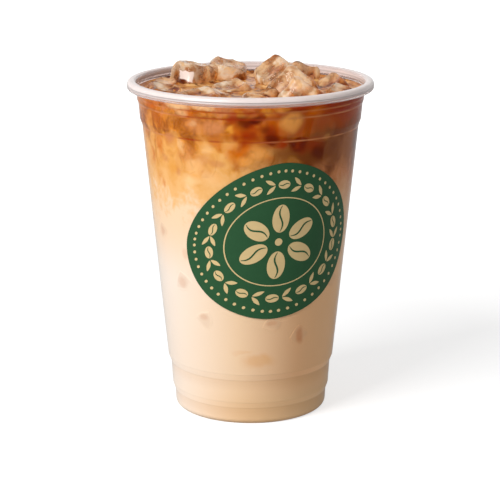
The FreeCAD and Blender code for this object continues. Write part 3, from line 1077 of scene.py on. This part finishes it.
def sunk_cubes(name, cubes, depth_in, fade):
    """Cubes pressed against the wall, cut off just inside it, and marked with how deep they press in."""
    shell = bmesh.new()
    for bearing, height, size, turn in cubes:
        cube = bmesh.ops.create_cube(shell, size=size * MM)["verts"]
        edges = {edge for vertex in cube for edge in vertex.link_edges}
        bmesh.ops.subdivide_edges(shell, edges=list(edges), cuts=SUNK_CUTS, use_grid_fill=True)
        body = [v for v in shell.verts if not v.tag]
        spin = Euler([math.radians(a) for a in turn]).to_matrix()
        facing = Matrix.Rotation(math.radians(bearing), 3, "Z")
        middle = wall_point(bearing, height, size / 2 - depth_in)
        for vertex in body:
            soft = vertex.co.normalized() * size * SUNK_ROUND * MM
            local = vertex.co.lerp(soft, 0.5)
            dent = noise.noise(local / (SUNK_MELT_SIZE * MM) + Vector((bearing, height, 0)))
            local += local.normalized() * dent * SUNK_MELT * MM
            vertex.co = facing @ (spin @ local) + middle
            vertex.tag = True
    mesh = bpy.data.meshes.new(name)
    depths = []
    for vertex in shell.verts:
        height = vertex.co.z / MM
        limit = (wall_radius(height, WALL - REACH_INTO_WALL) + SUNK_IN_WALL) * MM
        radius = math.hypot(vertex.co.x, vertex.co.y)
        vertex.co.z = min(vertex.co.z, (DRINK_LEVEL - SUNK_BELOW) * MM)
        depths.append(max(0.0, min(1.0, (radius - limit) / (fade * MM))))
        if radius > limit:
            vertex.co.x *= limit / radius
            vertex.co.y *= limit / radius
    shell.to_mesh(mesh)
    shell.free()
    mesh.attributes.new("depth", "FLOAT", "POINT").data.foreach_set("value", depths)
    mesh.polygons.foreach_set("use_smooth", [True] * len(mesh.polygons))
    mesh.set_sharp_from_angle(angle=SUNK_CREASE)
    return mesh


class ICEDCOFFEE_OT_sunk_ice(bpy.types.Operator):
    """Build the ice that shows through the wall"""
    bl_idname = "iced_coffee.sunk_ice"
    bl_label = "Sunk ice"

    def execute(self, context):
        scene = context.scene
        finish = coffee_body(scene.iced_coffee_drink, scene.iced_coffee_ice)
        for name, cubes, depth_in, fade in SUNK_KINDS:
            piece = add_object(name, sunk_cubes(name, cubes, depth_in, fade), finish)
            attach(piece, "root")
        return {"FINISHED"}


INK_OFFSET = 0.03            # height over the wall of the field, the motifs and their slits, in mm
LINE_OFFSET = 0.06
SLIT_OFFSET = 0.1
INK_THICKNESS = 0.03
PRINT_LEAN = 0.075           # how far the field leans to the right for each unit of height
PRINT_TAPER = 2.15           # how much faster than the wall the field narrows downwards
FIELD_POWER = 1.8            # 2 would make the field an oval; less makes it more pointed
BAND_POWER = 1.9
LEAF_POWER = 1.4
DOTS_AT = 0.9                # where the dots, the band of beans and the thin ring lie, as shares of the field
BAND_AT = 0.73
RING_AT = 0.57
RING_HOLLOW = 0.977
DOT = (0.62 * MM, 0.62 * MM)  # half length and half width of each motif, in metres
LEAF = (2.3 * MM, 0.8 * MM)
LEAF_ASIDE = 1.5 * MM
LEAF_SPREAD = 0.6
SMALL_BEAN = (2.5 * MM, 1.7 * MM)
SMALL_SLIT = (2.3 * MM, 0.2 * MM)
BEAN = (5.6 * MM, 3.5 * MM)
SLIT = (5.2 * MM, 0.36 * MM)
ROSETTE = (10.6 * MM, 9.4 * MM)
MIDDLE_DOT = (1.5 * MM, 1.5 * MM)
SLIT_PARTS = 14
INK_CREASE = math.radians(35)  # edges that turn by more look sharp
WORN_FIELD = 0.82            # how dark the thicker parts of each ink are
WORN_MOTIFS = 0.86


def on_wall(ink, point, offset):
    """A point of the print, from its place in the flat design in metres."""
    height = ink.height + point.y
    radius = wall_radius(height / MM) * MM
    middle = wall_radius(ink.height / MM) * MM
    turn = ink.bearing + (point.x + PRINT_LEAN * point.y) / (middle + PRINT_TAPER * (radius - middle))
    radius += offset * MM
    return Vector((radius * math.sin(turn), -radius * math.cos(turn), height))


def oval(centre, size, angle=0.0, power=2.0, steps=28):
    """Points around an oval of the flat design; a power below 2 makes its ends pointed."""
    cos, sin = math.cos(angle), math.sin(angle)
    points = []
    for k in range(steps):
        turn = 2 * math.pi * k / steps
        x = size[0] * math.copysign(abs(math.cos(turn)) ** (2 / power), math.cos(turn))
        y = size[1] * math.copysign(abs(math.sin(turn)) ** (2 / power), math.sin(turn))
        points.append(Vector((centre[0] + x * cos - y * sin, centre[1] + x * sin + y * cos)))
    return points


def inked(shell, ink, points, offset, rings=3, hollow=0.0):
    """Lays the inside of an outline on the wall, or a band along its edge if hollow."""
    centre = sum(points, Vector((0, 0))) / len(points)
    loops = []
    for k in range(rings + 1):
        share = hollow + (1 - hollow) * k / rings
        around = points if share else [centre]
        loops.append([shell.verts.new(on_wall(ink, centre.lerp(point, share), offset)) for point in around])
    for inner, outer in zip(loops, loops[1:]):
        for j in range(len(points)):
            n = (j + 1) % len(points)
            corners = [inner[j % len(inner)], outer[j], outer[n], inner[n % len(inner)]]
            shell.faces.new(list(dict.fromkeys(corners)))


def bean_slit(shell, ink, centre, size, angle):
    """The curved line down the middle of a coffee bean."""
    length, width = size
    cos, sin = math.cos(angle), math.sin(angle)
    rows = []
    for k in range(SLIT_PARTS + 1):
        share = k / SLIT_PARTS * 2 - 1
        bend = 0.16 * length * math.sin(math.pi * share)
        half = width * (1.05 - 0.75 * share * share)
        row = []
        for side in (-half, half):
            x, y = length * share, bend + side
            point = Vector((centre[0] + x * cos - y * sin, centre[1] + x * sin + y * cos))
            row.append(shell.verts.new(on_wall(ink, point, SLIT_OFFSET)))
        rows.append(row)
    for low, high in zip(rows, rows[1:]):
        shell.faces.new([low[0], high[0], high[1], low[1]])


def laid_print(name, shell, finish):
    """Gives flat ink its thickness and its finish, and makes it a piece."""
    mesh = bpy.data.meshes.new(name)
    shell.to_mesh(mesh)
    shell.free()
    piece = add_object(name, mesh)
    body = piece.modifiers.new("ink", "SOLIDIFY")
    body.thickness = INK_THICKNESS * MM
    body.offset = -1.0
    settle(piece)
    piece.data.set_sharp_from_angle(angle=INK_CREASE)
    piece.data.materials.append(finish)
    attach(piece, "root")


class ICEDCOFFEE_OT_print(bpy.types.Operator):
    """Build the printed field: a green oval with a rosette of beans in rings of leaves and dots"""
    bl_idname = "iced_coffee.print"
    bl_label = "Printed field"

    def execute(self, context):
        ink = context.scene.iced_coffee_print
        size = Vector((ink.half_width, ink.half_height))
        field, motifs, slits = bmesh.new(), bmesh.new(), bmesh.new()
        inked(field, ink, oval((0, 0), size, power=FIELD_POWER, steps=160), INK_OFFSET, rings=24)
        for centre in oval((0, 0), size * DOTS_AT, power=FIELD_POWER, steps=ink.dots):
            inked(motifs, ink, oval(centre, DOT, steps=14), LINE_OFFSET, rings=1)
        ring = oval((0, 0), size * RING_AT, steps=120)
        inked(motifs, ink, ring, LINE_OFFSET, rings=1, hollow=RING_HOLLOW)
        band = oval((0, 0), size * BAND_AT, power=BAND_POWER, steps=2 * ink.leaves)
        for k, centre in enumerate(band):
            along = band[(k + 1) % len(band)] - band[k - 1]
            angle = math.atan2(along.y, along.x)
            if k % 2:
                inked(motifs, ink, oval(centre, SMALL_BEAN, angle, steps=24), LINE_OFFSET)
                bean_slit(slits, ink, centre, SMALL_SLIT, angle)
                continue
            for side in (-1, 1):
                tip = centre + Vector((-along.y, along.x)).normalized() * side * LEAF_ASIDE
                inked(motifs, ink, oval(tip, LEAF, angle + side * LEAF_SPREAD, LEAF_POWER), LINE_OFFSET)
        for k in range(ink.beans):
            angle = 2 * math.pi * (k + 0.5) / ink.beans
            centre = Vector((ROSETTE[0] * math.cos(angle), ROSETTE[1] * math.sin(angle)))
            inked(motifs, ink, oval(centre, BEAN, angle, steps=36), LINE_OFFSET, rings=5)
            bean_slit(slits, ink, centre, SLIT, angle)
        inked(motifs, ink, oval((0, 0), MIDDLE_DOT, steps=20), LINE_OFFSET)
        laid_print("print_field", field, print_ink("green_ink", ink.field_colour, WORN_FIELD))
        laid_print("print_motifs", motifs, print_ink("gold_ink", ink.line_colour, WORN_MOTIFS))
        laid_print("print_slits", slits, print_ink("green_line_ink", ink.field_colour, WORN_FIELD))
        return {"FINISHED"}


FLOOR_HALF = 3.0             # half the floor's width, in metres
KEY_PLACE, KEY_SIZE = (-0.74, -0.7, 0.82), 0.7
FILL_PLACE, FILL_SIZE = (0.8, -0.7, 0.5), 0.6


class ICEDCOFFEE_OT_stage(bpy.types.Operator):
    """Build the floor, lights and camera"""
    bl_idname = "iced_coffee.stage"
    bl_label = "Stage"

    def execute(self, context):
        settings = context.scene.iced_coffee_stage
        corners = [(x * FLOOR_HALF, y * FLOOR_HALF, 0) for x, y in ((-1, -1), (1, -1), (1, 1), (-1, 1))]
        sheet = mesh_of("floor", corners, [(0, 1, 2, 3)], False)
        floor = add_object("floor", sheet, floor_finish(settings.floor_colour))
        context.scene.world = white_world(settings.ambient)
        soft_light("key_light", KEY_PLACE, KEY_SIZE, settings.key_power)
        soft_light("fill_light", FILL_PLACE, FILL_SIZE, settings.fill_power)
        set_camera(context.scene)
        return {"FINISHED"}


def white_world(ambient):
    """Even light, seen as plain white directly, in gloss and through clear plastic."""
    tree = Tree("studio", "worlds")
    lit = tree.node("ShaderNodeBackground", None, {"Color": (*WHITE, 1.0), "Strength": ambient})
    seen = tree.node("ShaderNodeBackground", None, {"Color": (*WHITE, 1.0)})
    share = tree.rays("Camera", "Glossy", "Transmission")
    tree.node("ShaderNodeOutputWorld", None, {"Surface": tree.blend(share, lit, seen)})
    return tree.owner


def soft_light(name, place, size, power):
    """A square soft light that looks at the middle of the cup."""
    data = bpy.data.lights.new(name, "AREA")
    data.size = size
    data.energy = power
    light = bpy.data.objects.new(name, data)
    bpy.context.scene.collection.objects.link(light)
    light.location = place
    aim = Vector((0, 0, CUP_HIGH.z / 2)) - Vector(place)
    light.rotation_euler = aim.to_track_quat("-Z", "Y").to_euler()


CAMERA_PLACE = (-0.0002, -0.7267, 0.2478)
CAMERA_PITCH = 0.2477        # how far the camera looks down, in radians
CAMERA_LENS = 132.9          # in millimetres, on the sensor's width
SENSOR_WIDTH = 36.0


def set_camera(scene):
    data = bpy.data.cameras.new("camera")
    data.lens = CAMERA_LENS
    data.sensor_width = SENSOR_WIDTH
    camera = bpy.data.objects.new("camera", data)
    scene.collection.objects.link(camera)
    camera.location = CAMERA_PLACE
    camera.rotation_euler = (math.pi / 2 - CAMERA_PITCH, 0, 0)
    scene.camera = camera
    scene.view_settings.view_transform = "Standard"


# ---- the add-on -------------------------------------------------------------------------------------
class ICEDCOFFEE_PT_panel(bpy.types.Panel):
    """Lists the sizes, colours and builders of the iced coffee"""
    bl_idname = "ICEDCOFFEE_PT_panel"
    bl_label = "Iced coffee"
    bl_space_type = "VIEW_3D"
    bl_region_type = "UI"
    bl_category = "Iced coffee"

    def draw(self, context):
        for operator in OPERATORS:
            self.layout.operator(operator.bl_idname)
        for name, group in SETTINGS.items():
            column = self.layout.column(align=True)
            for key in group.__annotations__:
                column.prop(getattr(context.scene, name), key)


SETTINGS = {
    "iced_coffee_cup": CupSettings,
    "iced_coffee_drink": DrinkSettings,
    "iced_coffee_ice": IceSettings,
    "iced_coffee_print": PrintSettings,
    "iced_coffee_stage": StageSettings,
}
OPERATORS = (
    ICEDCOFFEE_OT_cup,
    ICEDCOFFEE_OT_ice,
    ICEDCOFFEE_OT_drink,
    ICEDCOFFEE_OT_sunk_ice,
    ICEDCOFFEE_OT_print,
    ICEDCOFFEE_OT_stage,
)


def register():
    for group in SETTINGS.values():
        bpy.utils.register_class(group)
    for operator in OPERATORS:
        bpy.utils.register_class(operator)
    bpy.utils.register_class(ICEDCOFFEE_PT_panel)
    for name, group in SETTINGS.items():
        setattr(bpy.types.Scene, name, PointerProperty(type=group))


def unregister():
    for name in SETTINGS:
        delattr(bpy.types.Scene, name)
    bpy.utils.unregister_class(ICEDCOFFEE_PT_panel)
    for operator in reversed(OPERATORS):
        bpy.utils.unregister_class(operator)
    for group in reversed(list(SETTINGS.values())):
        bpy.utils.unregister_class(group)


def main():
    register()
    bpy.ops.iced_coffee.cup()
    bpy.ops.iced_coffee.ice()
    bpy.ops.iced_coffee.drink()
    bpy.ops.iced_coffee.sunk_ice()
    bpy.ops.iced_coffee.print()
    bpy.ops.iced_coffee.stage()


if __name__ == "__main__":
    main()
